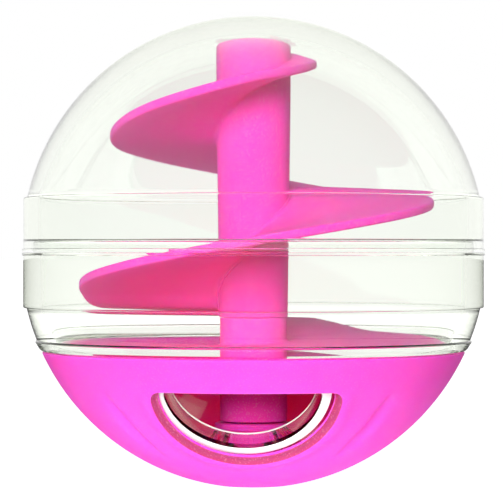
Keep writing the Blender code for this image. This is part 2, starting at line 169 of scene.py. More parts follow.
# The column, its sleeve and the ramps.
COLUMN_BOTTOM_Z = -14.3
COLUMN_TOP_RADIUS = 8.2
COLUMN_BOTTOM_RADIUS = 7.4
SLEEVE_RADIUS = 7.25
SLEEVE_BORE = 5.75
SPIGOT_RADIUS = SLEEVE_BORE - GAP
SPIGOT_BORE = 4.2
COLUMN_BORE_LOW_RADIUS = 5.8
COLUMN_BORE_TOP_RADIUS = 6.5
COLUMN_BORE_TAPER = 2.5
COLUMN_TOP_WALL = 1.8
SLEEVE_FLOOR = 1.5
COLLAR_TOP_WALL = 0.9
RAMP_STEP = 2.5

# A ramp's stations: turn in degrees clockwise seen from above, height of its top, edge radius.
# Turn 0 lies RAMP_HEADING degrees anticlockwise of +X.
RAMP_HEADING = 2.3
SPIRAL_STATIONS = (
    (-60, 46.0, 10.0),
    (-40, 45.6, 10.5),
    (-25, 44.9, 11.2),
    (-10, 43.8, 12.2),
    (10, 42.3, 13.9),
    (29, 41.2, 14.7),
    (49, 39.9, 16.5),
    (63, 38.9, 18.3),
    (90, 36.9, 22.4),
    (133, 32.2, 27.2),
    (180, 27.2, 31.2),
    (226, 24.0, 34.2),
    (257, 21.2, 36.0),
    (284, 17.8, 37.1),
    (318, 14.1, 38.2),
    (340, 12.7, 38.8),
    (360, 11.8, 39.0),
    (405, 8.0, 38.7),
    (450, 3.2, 38.4),
    (495, -2.0, 38.2),
    (540, -7.2, 37.6),
    (550, -9.2, 37.5),
    (560, -10.4, 37.3),
    (580, -11.0, 37.0),
    (618, -12.0, 36.8),
)
FLOOR_STATIONS = (
    (622, -14.9, 37.2),
    (642, -15.4, 38.4),
    (658, -17.4, 40.0),
    (670, -19.2, 41.0),
    (684, -19.6, 41.2),
    (720, -19.9, 41.2),
    (810, -20.4, 41.2),
    (900, -20.9, 41.1),
    (925, -21.0, 41.1),
)
FLOOR_RIM_TOP_Z = -21.2
FLOOR_RIM_BOTTOM_Z = -23.0
FLOOR_RIM_INNER = 38.5

# Each ramp's section. Its root lies inside the column, and its fillet starts at column_radius.
SPIRAL_SECTION = {
    "root": 6.95,
    "column_radius": 7.9,
    "thickness": 1.9,
    "root_fillet": 0.9,
    "edge_round": 0.55,
}
FLOOR_SECTION = {
    "root": 6.6,
    "column_radius": 7.3,
    "thickness": 1.7,
    "root_fillet": 0.8,
    "edge_round": 0.4,
}

TURN_STEPS = 288
SMALL_TURN_STEPS = 128
BOWL_TURN_STEPS = 432
LONG_RUN = 1.2
BRACE = 0.12
POLE_RADIUS = 1e-6


# ---- mesh helpers ------------------------------------------------------------------------------


def rows(points):
    """Points in millimetres from the seam's centre, as frame coordinates in metres."""
    moved = np.asarray(points, float).reshape(-1, 3)
    return ((moved + np.array([0.0, 0.0, SEAM])) * MM).tolist()


def mesh_piece(name, points, faces, smooth_angle=30.0, looks=None):
    """A mesh object; looks gives each face's material slot."""
    mesh = bpy.data.meshes.new(name)
    mesh.from_pydata(rows(points), [], faces)
    if looks:
        mesh.polygons.foreach_set("material_index", looks)
    made = bpy.data.objects.new(name, mesh)
    bpy.context.scene.collection.objects.link(made)
    tidy_normals(made, smooth_angle)
    return made


def tidy_normals(piece, smooth_angle=30.0):
    """Faces out, smooth shading, and sharp edges only past the angle."""
    mesh = piece.data
    work = bmesh.new()
    work.from_mesh(mesh)
    bmesh.ops.remove_doubles(work, verts=work.verts, dist=2e-6)
    bmesh.ops.recalc_face_normals(work, faces=work.faces)
    work.to_mesh(mesh)
    work.free()
    mesh.shade_smooth()
    mesh.set_sharp_from_angle(angle=math.radians(smooth_angle))
    mesh.update()


def boolean(piece, operation, *tools):
    """Joins or cuts the piece with each tool, keeps the result as its mesh and removes the tools."""
    for tool in tools:
        step = piece.modifiers.new(tool.name, "BOOLEAN")
        step.operation = operation
        step.solver = "EXACT"
        step.object = tool
    graph = bpy.context.evaluated_depsgraph_get()
    result = bpy.data.meshes.new_from_object(piece.evaluated_get(graph))
    piece.modifiers.clear()
    old = piece.data
    piece.data = result
    bpy.data.meshes.remove(old)
    for tool in tools:
        bpy.data.objects.remove(tool)
    tidy_normals(piece)


def braced(profile):
    """Adds a point near both ends of each long straight run, which keeps its shading flat."""
    out = []
    for i, here in enumerate(profile):
        there = profile[(i + 1) % len(profile)]
        run = math.dist(here, there)
        out.append(here)
        if run > LONG_RUN and max(here[0], there[0]) > POLE_RADIUS:
            start, end = np.array(here), np.array(there)
            step = (end - start) * BRACE / run
            out += [tuple(start + step), tuple(end - step)]
    return out


def revolve(name, profile, steps=TURN_STEPS):
    """A closed loop of (radius, height) turned about the axis; points on the axis become poles."""
    points, faces, rings = [], [], []
    angles = 2.0 * math.pi * np.arange(steps) / steps
    for r, z in braced(profile):
        start = len(points)
        if r < POLE_RADIUS:
            points.append((0.0, 0.0, z))
            rings.append((start, 1))
        else:
            points += list(zip(r * np.cos(angles), r * np.sin(angles), np.full(steps, z)))
            rings.append((start, steps))
    for k in range(len(rings)):
        (a, na), (b, nb) = rings[k], rings[(k + 1) % len(rings)]
        if na == 1 and nb == 1:
            continue
        for i in range(steps):
            j = (i + 1) % steps
            if na == 1:
                faces.append((a, b + j, b + i))
            elif nb == 1:
                faces.append((a + i, a + j, b))
            else:
                faces.append((a + i, a + j, b + j, b + i))
    return mesh_piece(name, points, faces)


def sphere_r(radius, centre, z):
    return math.sqrt(max(radius ** 2 - (z - centre) ** 2, 0.0))


def arc(radius, centre, z_from, z_to, spacing=1.0):
    """Points down or up a sphere's side, about spacing millimetres apart."""
    first = math.asin(max(-1.0, min(1.0, (z_from - centre) / radius)))
    last = math.asin(max(-1.0, min(1.0, (z_to - centre) / radius)))
    count = max(3, math.ceil(abs(last - first) * radius / spacing) + 1)
    angles = np.linspace(first, last, count)
    return [(radius * math.cos(a), centre + radius * math.sin(a)) for a in angles]


def arc_to_radius(radius, centre, z_from, r_to, spacing=1.0):
    return arc(radius, centre, z_from, centre - math.sqrt(radius ** 2 - r_to ** 2), spacing)


def round_corner(before, corner, after, radius, count=5):
    """A fillet between two straight runs that meet at the corner."""
    b, c, a = (np.array(p, float) for p in (before, corner, after))
    to_b, to_a = b - c, a - c
    len_b, len_a = np.linalg.norm(to_b), np.linalg.norm(to_a)
    to_b, to_a = to_b / len_b, to_a / len_a
    half = math.acos(max(-1.0, min(1.0, float(to_b @ to_a)))) / 2.0
    if half > math.radians(86.0):
        return [tuple(c)]
    reach = min(radius / math.tan(half), 0.45 * len_b, 0.45 * len_a)
    start, end = c + to_b * reach, c + to_a * reach
    middle = c + (to_b + to_a) / np.linalg.norm(to_b + to_a) * (reach / math.cos(half))
    spokes = start - middle, end - middle
    size = np.linalg.norm(spokes[0])
    out = []
    for t in np.linspace(0.0, 1.0, count):
        spoke = spokes[0] * (1.0 - t) + spokes[1] * t
        out.append(tuple(middle + spoke / np.linalg.norm(spoke) * size))
    return out


def rounded(profile, radii, count=5):
    """The closed profile with fillets: radii maps an index in the profile to a radius."""
    out = []
    total = len(profile)
    for i, corner in enumerate(profile):
        if i in radii:
            out += round_corner(profile[i - 1], corner, profile[(i + 1) % total], radii[i], count)
        else:
            out.append(corner)
    return out


# ---- windows -----------------------------------------------------------------------------------

ACROSS = np.array([1.0, 0.0, 0.0])
OUTWARD = np.array([0.0, -math.cos(WINDOW_TILT), -math.sin(WINDOW_TILT)])
UPWARD = np.array([0.0, -math.sin(WINDOW_TILT), math.cos(WINDOW_TILT)])


def window_room(u, v, arc_radius, top_z):
    """How far a spot on the sphere lies inside a half-moon; below 0 it is outside."""
    in_arc = arc_radius - np.hypot(u, v - WINDOW_ARC_CENTRE)
    outward = np.sqrt(np.maximum(LOWER_RADIUS ** 2 - u * u - v * v, 0.0))
    height = LOWER_CENTRE + v * math.cos(WINDOW_TILT) - outward * math.sin(WINDOW_TILT)
    under_top = top_z - height
    blend = np.maximum(WINDOW_CORNER - np.abs(in_arc - under_top), 0.0) / WINDOW_CORNER
    return np.minimum(in_arc, under_top) - blend * blend * WINDOW_CORNER / 4.0


def half_moon(arc_radius, top_z, grow=0.0):
    """The half-moon's outline, moved outward by grow."""
    angle = 2.0 * math.pi * np.arange(WINDOW_POINTS) / WINDOW_POINTS
    near = np.zeros(WINDOW_POINTS)
    far = np.full(WINDOW_POINTS, 2.0 * arc_radius + abs(grow))
    for _ in range(40):
        middle = (near + far) / 2.0
        u, v = middle * np.cos(angle), 1.0 + middle * np.sin(angle)
        inside = window_room(u, v, arc_radius, top_z) > -grow
        near = np.where(inside, middle, near)
        far = np.where(inside, far, middle)
    return np.stack([near * np.cos(angle), 1.0 + near * np.sin(angle)], axis=1)


def window_loft(name, levels, second_look=()):
    """A closed plug through the wall. Each level is (distance from the sphere's centre, outline).

    second_look lists the bands that take the second material: band k lies between levels k and
    k + 1, band -1 is the cap under the first level, and the last band is the cap over the last one.
    """
    points = []
    for distance, outline in levels:
        u, v = outline[:, 0], outline[:, 1]
        w = np.sqrt(LOWER_RADIUS ** 2 - u * u - v * v)
        ray = (u[:, None] * ACROSS + v[:, None] * UPWARD + w[:, None] * OUTWARD) / LOWER_RADIUS
        spot = ray * distance
        spot[:, 2] += LOWER_CENTRE
        points += spot.tolist()
    count = WINDOW_POINTS
    faces, looks = [], []
    for level in range(len(levels) - 1):
        looks += [int(level in second_look)] * count
        for i in range(count):
            j = (i + 1) % count
            low, high = level * count, (level + 1) * count
            faces.append((low + i, low + j, high + j, high + i))
    last = (len(levels) - 1) * count
    for band, rim in ((-1, 0), (len(levels) - 1, last)):
        ring = np.array(points[rim:rim + count])
        base = len(points)
        points.append(ring.mean(axis=0).tolist())
        faces += [(rim + i, rim + (i + 1) % count, base) for i in range(count)]
        looks += [int(band in second_look)] * count
    return mesh_piece(name, points, faces, looks=looks)


# ---- ramps -------------------------------------------------------------------------------------


def station_at(stations, turn):
    """(height, edge radius) of a ramp at a turn, on a smooth curve through its stations."""
    last = len(stations) - 1
    k = max(i for i in range(last) if stations[i][0] <= turn or i == 0)
    left, right = stations[k], stations[k + 1]
    before, after = stations[max(k - 1, 0)], stations[min(k + 2, last)]
    span = right[0] - left[0]
    t = (turn - left[0]) / span
    out = []
    for axis in (1, 2):
        slope_in = (right[axis] - before[axis]) / (right[0] - before[0]) * span
        slope_out = (after[axis] - left[axis]) / (after[0] - left[0]) * span
        out.append(
            (2 * t ** 3 - 3 * t ** 2 + 1) * left[axis]
            + (t ** 3 - 2 * t ** 2 + t) * slope_in
            + (3 * t ** 2 - 2 * t ** 3) * right[axis]
            + (t ** 3 - t ** 2) * slope_out
        )
    return out


def ramp(name, stations, root, column_radius, thickness, root_fillet, edge_round):
    """A spiral slide with a rounded outer edge and a fillet where it meets the column."""
    first, last = stations[0][0], stations[-1][0]
    count = math.ceil((last - first) / RAMP_STEP)
    points, faces = [], []
    for i in range(count + 1):
        turn = first + (last - first) * i / count
        height, edge = station_at(stations, turn)
        angle = math.radians(RAMP_HEADING - turn)
        section = [(root, root_fillet)]
        for t in (0.0, 0.35, 0.7, 1.0):
            swing = t * math.pi / 2.0
            r = column_radius + root_fillet * (1.0 - math.cos(swing))
            section.append((r, root_fillet * (1.0 - math.sin(swing))))
        inner = section[-1][0]
        for t in (0.25, 0.5, 0.75):
            section.append((inner + (edge - edge_round - inner) * t, 0.0))
        for t in np.linspace(0.0, 1.0, 4):
            swing = t * math.pi / 2.0
            r = edge - edge_round * (1.0 - math.sin(swing))
            section.append((r, -edge_round * (1.0 - math.cos(swing))))
        section += [(r, -thickness - z) for r, z in reversed(section)]
        size = len(section)
        for r, z in section:
            points.append((r * math.cos(angle), r * math.sin(angle), height + z))
        if i:
            for j in range(size):
                k = (j + 1) % size
                a, b = (i - 1) * size, i * size
                faces.append((a + j, a + k, b + k, b + j))
    faces.append(tuple(range(size)))
    faces.append(tuple(range(count * size, (count + 1) * size)))
    return mesh_piece(name, points, faces, 40.0)


# ---- pieces ------------------------------------------------------------------------------------


def build_dome():
    """The upper half: sphere, belt, seam bead and the rebate for the lip."""
    rim_z = GAP / 2.0
    inner_crown = DOME_INNER_CENTRE + DOME_INNER_RADIUS
    belt_inner = sphere_r(DOME_INNER_RADIUS, DOME_INNER_CENTRE, BELT_HEIGHT)
    rebate_r, rebate_z = LIP_OUTER + GAP, LIP_TOP_Z + GAP
    outer = arc(BALL_RADIUS, UPPER_CENTRE, CROWN_Z, BELT_HEIGHT + BELT_LEDGE_RUN)
    profile = [(0.0, CROWN_Z)] + outer[1:]
    ledge = len(profile)
    profile += [(sphere_r(BALL_RADIUS, UPPER_CENTRE, BELT_HEIGHT), BELT_HEIGHT)]
    profile += [(BELT_RADIUS, BELT_HEIGHT - BELT_LEDGE_DROP), (BELT_RADIUS, SEAM_BEAD_ROOT_Z)]
    profile += [(SEAM_BEAD_RADIUS, SEAM_BEAD_FLANK_Z), (SEAM_BEAD_RADIUS, rim_z)]
    profile += [(rebate_r, rim_z), (rebate_r, rebate_z), (belt_inner, rebate_z)]
    crease = len(profile)
    profile += arc(DOME_INNER_RADIUS, DOME_INNER_CENTRE, BELT_HEIGHT, inner_crown)[:-1]
    profile += [(0.0, inner_crown)]
    soft = {ledge + 1: 0.25, ledge + 3: 0.12, crease - 2: 0.2, crease - 1: 0.2}
    return revolve("clear_dome", rounded(profile, soft))


def build_lower_shell(clear, frosted):
    """The lower half: lip, seam bead, belt, shoulder, nested bottom, window and snap fingers."""
    rim_z = -GAP / 2.0
    bead_top = sphere_r(LOWER_RADIUS, LOWER_CENTRE, BEAD_TOP_Z)
    bead_low = sphere_r(LOWER_RADIUS, LOWER_CENTRE, SHOULDER_Z)
    nested = sphere_r(NESTED_RADIUS, LOWER_CENTRE, SHOULDER_Z)
    belt_inner = sphere_r(SHELL_INNER_RADIUS, SHELL_INNER_CENTRE, -BELT_HEIGHT)
    profile = [(belt_inner, LIP_TOP_Z), (LIP_OUTER, LIP_TOP_Z), (LIP_OUTER, rim_z)]
    profile += [(SEAM_BEAD_RADIUS, rim_z), (SEAM_BEAD_RADIUS, -SEAM_BEAD_FLANK_Z)]
    profile += [(BELT_RADIUS, -SEAM_BEAD_ROOT_Z), (BELT_RADIUS, -BELT_HEIGHT - BELT_LEDGE_DROP)]
    ledge_z = -BELT_HEIGHT - BELT_LEDGE_RUN
    profile += [(sphere_r(LOWER_RADIUS, LOWER_CENTRE, ledge_z), ledge_z)]
    soft = {0: 0.3, 1: 0.25, 3: 0.12, 6: 0.25}
    profile += arc(LOWER_RADIUS, LOWER_CENTRE, -BELT_HEIGHT - 0.5, BEAD_TOP_Z)
    bead = len(profile)
    profile += [(bead_top + BEAD_PROUD, BEAD_TOP_Z - BEAD_TOP_SLOPE)]
    profile += [(bead_low + BEAD_PROUD, SHOULDER_Z + BEAD_LOW_SLOPE)]
    profile += [(bead_low - 0.1, SHOULDER_Z), (nested, SHOULDER_Z)]
    soft.update({bead: 0.3, bead + 1: 0.4, bead + 2: 0.2})
    profile += arc_to_radius(NESTED_RADIUS, LOWER_CENTRE, SHOULDER_Z - 0.4, FINGER_INNER)
    finger = len(profile)
    profile += [(FINGER_INNER, FINGER_TOP_Z), (FINGER_OUTER, FINGER_TOP_Z)]
    soft.update({finger: 0.3, finger + 1: 0.4})
    inner = arc_to_radius(SHELL_INNER_RADIUS, SHELL_INNER_CENTRE, -BELT_HEIGHT, FINGER_OUTER)
    profile += list(reversed(inner))
    shell = revolve("clear_lower_shell", rounded(profile, soft))
    finish_with(shell, clear, frosted)
    add_shell_window(shell, clear, frosted)
    boolean(shell, "DIFFERENCE", *(finger_slot(i) for i in range(FINGER_COUNT // 2)))
    return shell


def add_shell_window(shell, clear, frosted):
    """The collar inside the wall, the frosted border outside it, and the hole through both."""

    def outline(grow):
        return half_moon(SHELL_WINDOW_RADIUS, SHELL_WINDOW_TOP_Z, grow)

    wall = SHELL_COLLAR_WALL
    bevel = SHELL_HOLE_BEVEL
    inside = NESTED_RADIUS - SHELL_NESTED_WALL - SHELL_COLLAR_DEPTH
    collar_levels = []
    for out, grow in ((0.0, wall - bevel), (0.12, wall - 0.1), (0.4, wall)):
        collar_levels += [(inside + out, outline(grow))]
    collar_levels += [(NESTED_RADIUS - SHELL_COLLAR_SINK, outline(wall))]
    border_levels = [(NESTED_RADIUS - BORDER_DEPTH, outline(BORDER_STEPS[0]))]
    border_levels += [(NESTED_RADIUS + BORDER_PROUD, outline(grow)) for grow in BORDER_STEPS]
    hole_levels = [(inside - SHELL_PLUG_REACH, outline(bevel))]
    for out, grow in ((-0.01, bevel), (0.1, 0.12), (bevel, 0.0)):
        hole_levels += [(inside + out, outline(grow))]
    for out, grow in ((-BORDER_DEPTH, 0.0), (-bevel, 0.0), (-0.1, 0.1), (0.05, bevel)):
        hole_levels += [(NESTED_RADIUS + out, outline(grow))]
    hole_levels += [(NESTED_RADIUS + SHELL_PLUG_REACH, outline(bevel))]
    outermost = len(hole_levels) - 2
    tools = (
        ("UNION", window_loft("window_collar", collar_levels, (-1, 0))),
        ("UNION", window_loft("window_border", border_levels, range(len(border_levels)))),
        ("DIFFERENCE", window_loft("shell_window", hole_levels, (1, outermost - 2, outermost - 1))),
    )
    for operation, tool in tools:
        finish_with(tool, clear, frosted)
        tool.data.transform(Matrix.Rotation(SHELL_WINDOW_TURN, 4, "Z"))
        boolean(shell, operation, tool)


def finger_slot(index):
    """A bar across the ring of fingers, which leaves a gap on each side of it."""
    length = 2.0 * FINGER_OUTER + 4.0
    depth = FINGER_TOP_Z - FINGER_ROOT_Z + 2.0
    turn = math.pi * (index + 0.5) / (FINGER_COUNT // 2)
    corners = []
    for x in (-length / 2.0, length / 2.0):
        for y in (-FINGER_GAP / 2.0, FINGER_GAP / 2.0):
            for z in (FINGER_ROOT_Z, FINGER_ROOT_Z + depth):
                c, s = math.cos(turn), math.sin(turn)
                corners.append((x * c - y * s, x * s + y * c, z))
    faces = [(0, 1, 3, 2), (4, 6, 7, 5), (0, 4, 5, 1), (2, 3, 7, 6), (0, 2, 6, 4), (1, 5, 7, 3)]
    return mesh_piece(f"finger_slot_{index + 1}", corners, faces)


def build_bowl(pink, shade):
    """The base: foot, screw pocket, pivot boss, flutes and the window in its dished recess."""
    rim_z = SHOULDER_Z - GAP
    rim_inner = sphere_r(BOWL_INNER_RADIUS, LOWER_CENTRE, rim_z)
    rim_outer = sphere_r(LOWER_RADIUS, LOWER_CENTRE, rim_z)
    profile = [(rim_outer, rim_z)]
    profile += arc_to_radius(LOWER_RADIUS, LOWER_CENTRE, rim_z - 0.6, FOOT_FLAT_RADIUS, 0.55)
    foot = len(profile) - 1
    profile += [(CAP_RECESS_RADIUS, FOOT_Z), (CAP_RECESS_RADIUS, CAP_RECESS_Z)]
    profile += [(SCREW_POCKET_RADIUS, CAP_RECESS_Z), (SCREW_POCKET_RADIUS, SCREW_POCKET_Z)]
    profile += [(SCREW_HOLE_RADIUS, SCREW_POCKET_Z), (SCREW_HOLE_RADIUS, PIVOT_TOP_Z)]
    profile += [(PIVOT_RADIUS, PIVOT_TOP_Z)]
    inner = arc_to_radius(BOWL_INNER_RADIUS, LOWER_CENTRE, rim_z - 0.5, PIVOT_RADIUS)
    profile += list(reversed(inner))
    profile += [(rim_inner, rim_z)]
    soft = {0: 0.35, foot: 0.3, foot + 1: 0.12, foot + 7: 0.3, len(profile) - 1: 0.3}
    bowl = revolve("pink_bowl", rounded(profile, soft), BOWL_TURN_STEPS)
    finish_with(bowl, pink, shade)
    shape_bowl(bowl)

    bevel = BOWL_WINDOW_BEVEL
    levels = []
    for out, grow in ((-BOWL_PLUG_REACH, bevel), (-0.01, bevel), (0.1, 0.1), (bevel, 0.0)):
        outline = half_moon(BOWL_WINDOW_RADIUS, BOWL_WINDOW_TOP_Z, grow)
        levels += [(BOWL_INNER_RADIUS + out, outline)]
    recess = len(levels)
    span = BOWL_RECESS_RADIUS - BOWL_WINDOW_RADIUS
    for t, rise in RECESS_SECTION:
        outline = half_moon(BOWL_WINDOW_RADIUS + span * t, BOWL_WINDOW_TOP_Z)
        levels += [(LOWER_RADIUS - BOWL_RECESS_DEPTH * (1.0 - rise), outline)]
    outline = half_moon(BOWL_RECESS_RADIUS + 0.2, BOWL_WINDOW_TOP_Z)
    levels += [(LOWER_RADIUS + BOWL_PLUG_REACH, outline)]
    # The recess bands take the second slot, whose darker pink is painted shade.
    window = window_loft("bowl_window", levels, range(recess, len(levels) - 2))
    finish_with(window, pink, shade)
    boolean(bowl, "DIFFERENCE", window)
    return bowl


def shape_bowl(bowl):
    """Presses the flutes into the bowl's outside and raises the sill below its window."""
    mesh = bowl.data
    flat = np.empty(len(mesh.vertices) * 3)
    mesh.vertices.foreach_get("co", flat)
    spots = flat.reshape(-1, 3) / MM - np.array([0.0, 0.0, SEAM + LOWER_CENTRE])
    distance = np.linalg.norm(spots, axis=1)
    ray = spots / distance[:, None]
    outside = distance > LOWER_RADIUS - SKIN_DEPTH
    u, v, w = (ray @ axis * LOWER_RADIUS for axis in (ACROSS, UPWARD, OUTWARD))
    room = window_room(u, v, BOWL_RECESS_RADIUS, BOWL_WINDOW_TOP_Z)
    in_front = w > 0.0
    low_side = 1.0 / (1.0 + np.exp((v - SILL_FADE_HEIGHT) / SILL_FADE_SPAN))
    sill = SILL_PROUD * np.exp(-(((room + SILL_OFFSET) / SILL_SPREAD) ** 2)) * low_side
    push = np.where(in_front, sill, 0.0)
    for side in (-1.0, 1.0):
        azimuth = math.radians(FLUTE_AZIMUTH) * side
        dip = math.radians(FLUTE_DIP)
        level_part = math.cos(dip)
        x, y = math.sin(azimuth) * level_part, -math.cos(azimuth) * level_part
        out = np.array([x, y, -math.sin(dip)])
        across = np.array([math.cos(azimuth), math.sin(azimuth), 0.0])
        along = np.cross(out, across)
        slant = math.radians(-FLUTE_SLANT * side)
        a = ray @ across * LOWER_RADIUS
        b = ray @ along * LOWER_RADIUS
        crossways = (a * math.cos(slant) + b * math.sin(slant)) * side
        lengthways = -a * math.sin(slant) + b * math.cos(slant)
        width = np.where(crossways < 0.0, FLUTE_STEEP_WIDTH, FLUTE_GENTLE_WIDTH)
        fade = np.clip(1.0 - (lengthways / FLUTE_HALF_LENGTH) ** 2, 0.0, None)
        dent = FLUTE_DEPTH * fade * np.exp(-((crossways / width) ** 2))
        push = push - np.where(ray @ out > 0.5, dent, 0.0)
    push = np.where(outside, push, 0.0)
    moved = ray * (distance + push)[:, None] + np.array([0.0, 0.0, SEAM + LOWER_CENTRE])
    mesh.vertices.foreach_set("co", (moved * MM).ravel())
    mesh.update()


def build_spiral():
    """The tapered hollow column with its ramp, and the spigot at its foot."""
    profile = [(0.0, COLUMN_TOP_Z), (COLUMN_TOP_RADIUS, COLUMN_TOP_Z)]
    profile += [(COLUMN_BOTTOM_RADIUS, COLUMN_BOTTOM_Z), (SPIGOT_RADIUS, COLUMN_BOTTOM_Z)]
    profile += [(SPIGOT_RADIUS, SPIGOT_BOTTOM_Z), (SPIGOT_BORE, SPIGOT_BOTTOM_Z)]
    profile += [(SPIGOT_BORE, COLUMN_BOTTOM_Z)]
    profile += [(COLUMN_BORE_LOW_RADIUS, COLUMN_BOTTOM_Z + COLUMN_BORE_TAPER)]
    bore_top = COLUMN_TOP_Z - COLUMN_TOP_WALL
    profile += [(COLUMN_BORE_TOP_RADIUS, bore_top), (0.0, bore_top)]
    soft = {1: 0.6, 2: 0.2, 4: 0.4, 5: 0.3}
    spiral = revolve("pink_spiral", rounded(profile, soft), SMALL_TURN_STEPS)
    slide = ramp("spiral_ramp", SPIRAL_STATIONS, **SPIRAL_SECTION)
    boolean(spiral, "UNION", slide)
    return spiral


def build_floor():
    """The column's sleeve, the rim inside the shell and the ramp between them."""
    top_z = COLUMN_BOTTOM_Z - GAP
    bore_low = SLEEVE_BOTTOM_Z + SLEEVE_FLOOR
    profile = [(0.0, bore_low), (SLEEVE_BORE, bore_low), (SLEEVE_BORE, top_z)]
    profile += [(SLEEVE_RADIUS, top_z), (SLEEVE_RADIUS, SLEEVE_BOTTOM_Z)]
    profile += [(0.0, SLEEVE_BOTTOM_Z)]
    floor = revolve("pink_floor", rounded(profile, {2: 0.2, 3: 0.3, 4: 0.4}), SMALL_TURN_STEPS)

    def seat(z):
        return sphere_r(SHELL_INNER_RADIUS, SHELL_INNER_CENTRE, z) - GAP

    rim = [(seat(FLOOR_RIM_TOP_Z), FLOOR_RIM_TOP_Z), (seat(FLOOR_RIM_BOTTOM_Z), FLOOR_RIM_BOTTOM_Z)]
    rim += [(FLOOR_RIM_INNER, FLOOR_RIM_BOTTOM_Z), (FLOOR_RIM_INNER, FLOOR_RIM_TOP_Z)]
    ring = revolve("floor_rim", rounded(rim, {0: 0.3, 1: 0.3, 2: 0.3, 3: 0.3}))
    slide = ramp("floor_ramp", FLOOR_STATIONS, **FLOOR_SECTION)
    boolean(floor, "UNION", ring)
    boolean(floor, "UNION", slide)
    return floor


def build_collar():
    """The flange over the snap fingers, with its bush below."""
    flange_low = FLANGE_TOP_Z - FLANGE_THICKNESS
    bush_low = PIVOT_TOP_Z + GAP
    bore_top = FLANGE_TOP_Z - COLLAR_TOP_WALL
    profile = [(0.0, FLANGE_TOP_Z), (FLANGE_RADIUS, FLANGE_TOP_Z), (FLANGE_RADIUS, flange_low)]
    profile += [(PIVOT_RADIUS, flange_low), (PIVOT_RADIUS, bush_low), (SCREW_HOLE_RADIUS, bush_low)]
    profile += [(SCREW_HOLE_RADIUS, bore_top), (0.0, bore_top)]
    return revolve("pink_collar", rounded(profile, {1: 0.55, 2: 0.3, 4: 0.2}), SMALL_TURN_STEPS)


# ---- materials ---------------------------------------------------------------------------------

BOWL_TONES = ((0.84, 0.060, 0.48), (0.88, 0.072, 0.53))
# The recess tones are a darker pink than the bowl's: painted shade in the dished recess round the
# window.
RECESS_PAINTED_SHADE_TONES = ((0.33, 0.040, 0.12), (0.40, 0.050, 0.155))
RAMP_TONES = ((0.94, 0.050, 0.45), (0.965, 0.064, 0.50))
FLECK_TONE = (0.86, 0.40, 0.52)

# The grain's depth, how far flecks show, the shine, the roughness and how deep light goes in.
BOWL_FINISH = (0.00002, 0.10, 0.16, 0.40, 0.004)
RECESS_FINISH = (0.00004, 0.30, 0.05, 0.60, 0.003)
RAMP_FINISH = (0.00005, 0.40, 0.05, 0.50, 0.003)


class Nodes:
    """A small helper for building a node tree."""

    def __init__(self, tree):
        self.tree = tree

    def add(self, kind, **values):
        node = self.tree.nodes.new(kind)
        for key, value in values.items():
            setattr(node, key, value)
        return node

    def join(self, source, target):
        self.tree.links.new(source, target)


def new_material(name):
    made = bpy.data.materials.new(name)
    made.use_nodes = True
    made.node_tree.nodes.clear()
    return made, Nodes(made.node_tree)


def clear_plastic():
    """Clear plastic, faintly uneven and tinted in depth. Shadow and bounce rays pass straight on."""
    made, n = new_material("clear_plastic")
    output = n.add("ShaderNodeOutputMaterial")
    shader = n.add("ShaderNodeBsdfPrincipled")
    shader.inputs["Base Color"].default_value = (0.985, 0.995, 0.985, 1.0)
    shader.inputs["IOR"].default_value = 1.49
    shader.inputs["Transmission Weight"].default_value = 1.0
    where = n.add("ShaderNodeTexCoord")
    haze = n.add("ShaderNodeTexNoise")
    haze.inputs["Scale"].default_value = 55.0
    haze.inputs["Detail"].default_value = 4.0
    spread = n.add("ShaderNodeMapRange")
    spread.inputs["From Min"].default_value = 0.35
    spread.inputs["From Max"].default_value = 0.75
    spread.inputs["To Min"].default_value = 0.012
    spread.inputs["To Max"].default_value = 0.05
    n.join(where.outputs["Object"], haze.inputs["Vector"])
    n.join(haze.outputs["Fac"], spread.inputs["Value"])
    n.join(spread.outputs["Result"], shader.inputs["Roughness"])
    straight = n.add("ShaderNodeBsdfTransparent")
    straight.inputs["Color"].default_value = (0.97, 0.98, 0.97, 1.0)
    path = n.add("ShaderNodeLightPath")
    for_lamps = n.add("ShaderNodeMixShader")
    n.join(path.outputs["Is Shadow Ray"], for_lamps.inputs["Fac"])
    n.join(shader.outputs["BSDF"], for_lamps.inputs[1])
    n.join(straight.outputs["BSDF"], for_lamps.inputs[2])
    for_bounces = n.add("ShaderNodeMixShader")
    n.join(path.outputs["Is Diffuse Ray"], for_bounces.inputs["Fac"])
    n.join(for_lamps.outputs["Shader"], for_bounces.inputs[1])
    n.join(straight.outputs["BSDF"], for_bounces.inputs[2])
    n.join(for_bounces.outputs["Shader"], output.inputs["Surface"])
    tint = n.add("ShaderNodeVolumeAbsorption")
    tint.inputs["Color"].default_value = (0.70, 0.80, 0.48, 1.0)
    tint.inputs["Density"].default_value = 22.0
    n.join(tint.outputs["Volume"], output.inputs["Volume"])
    return made


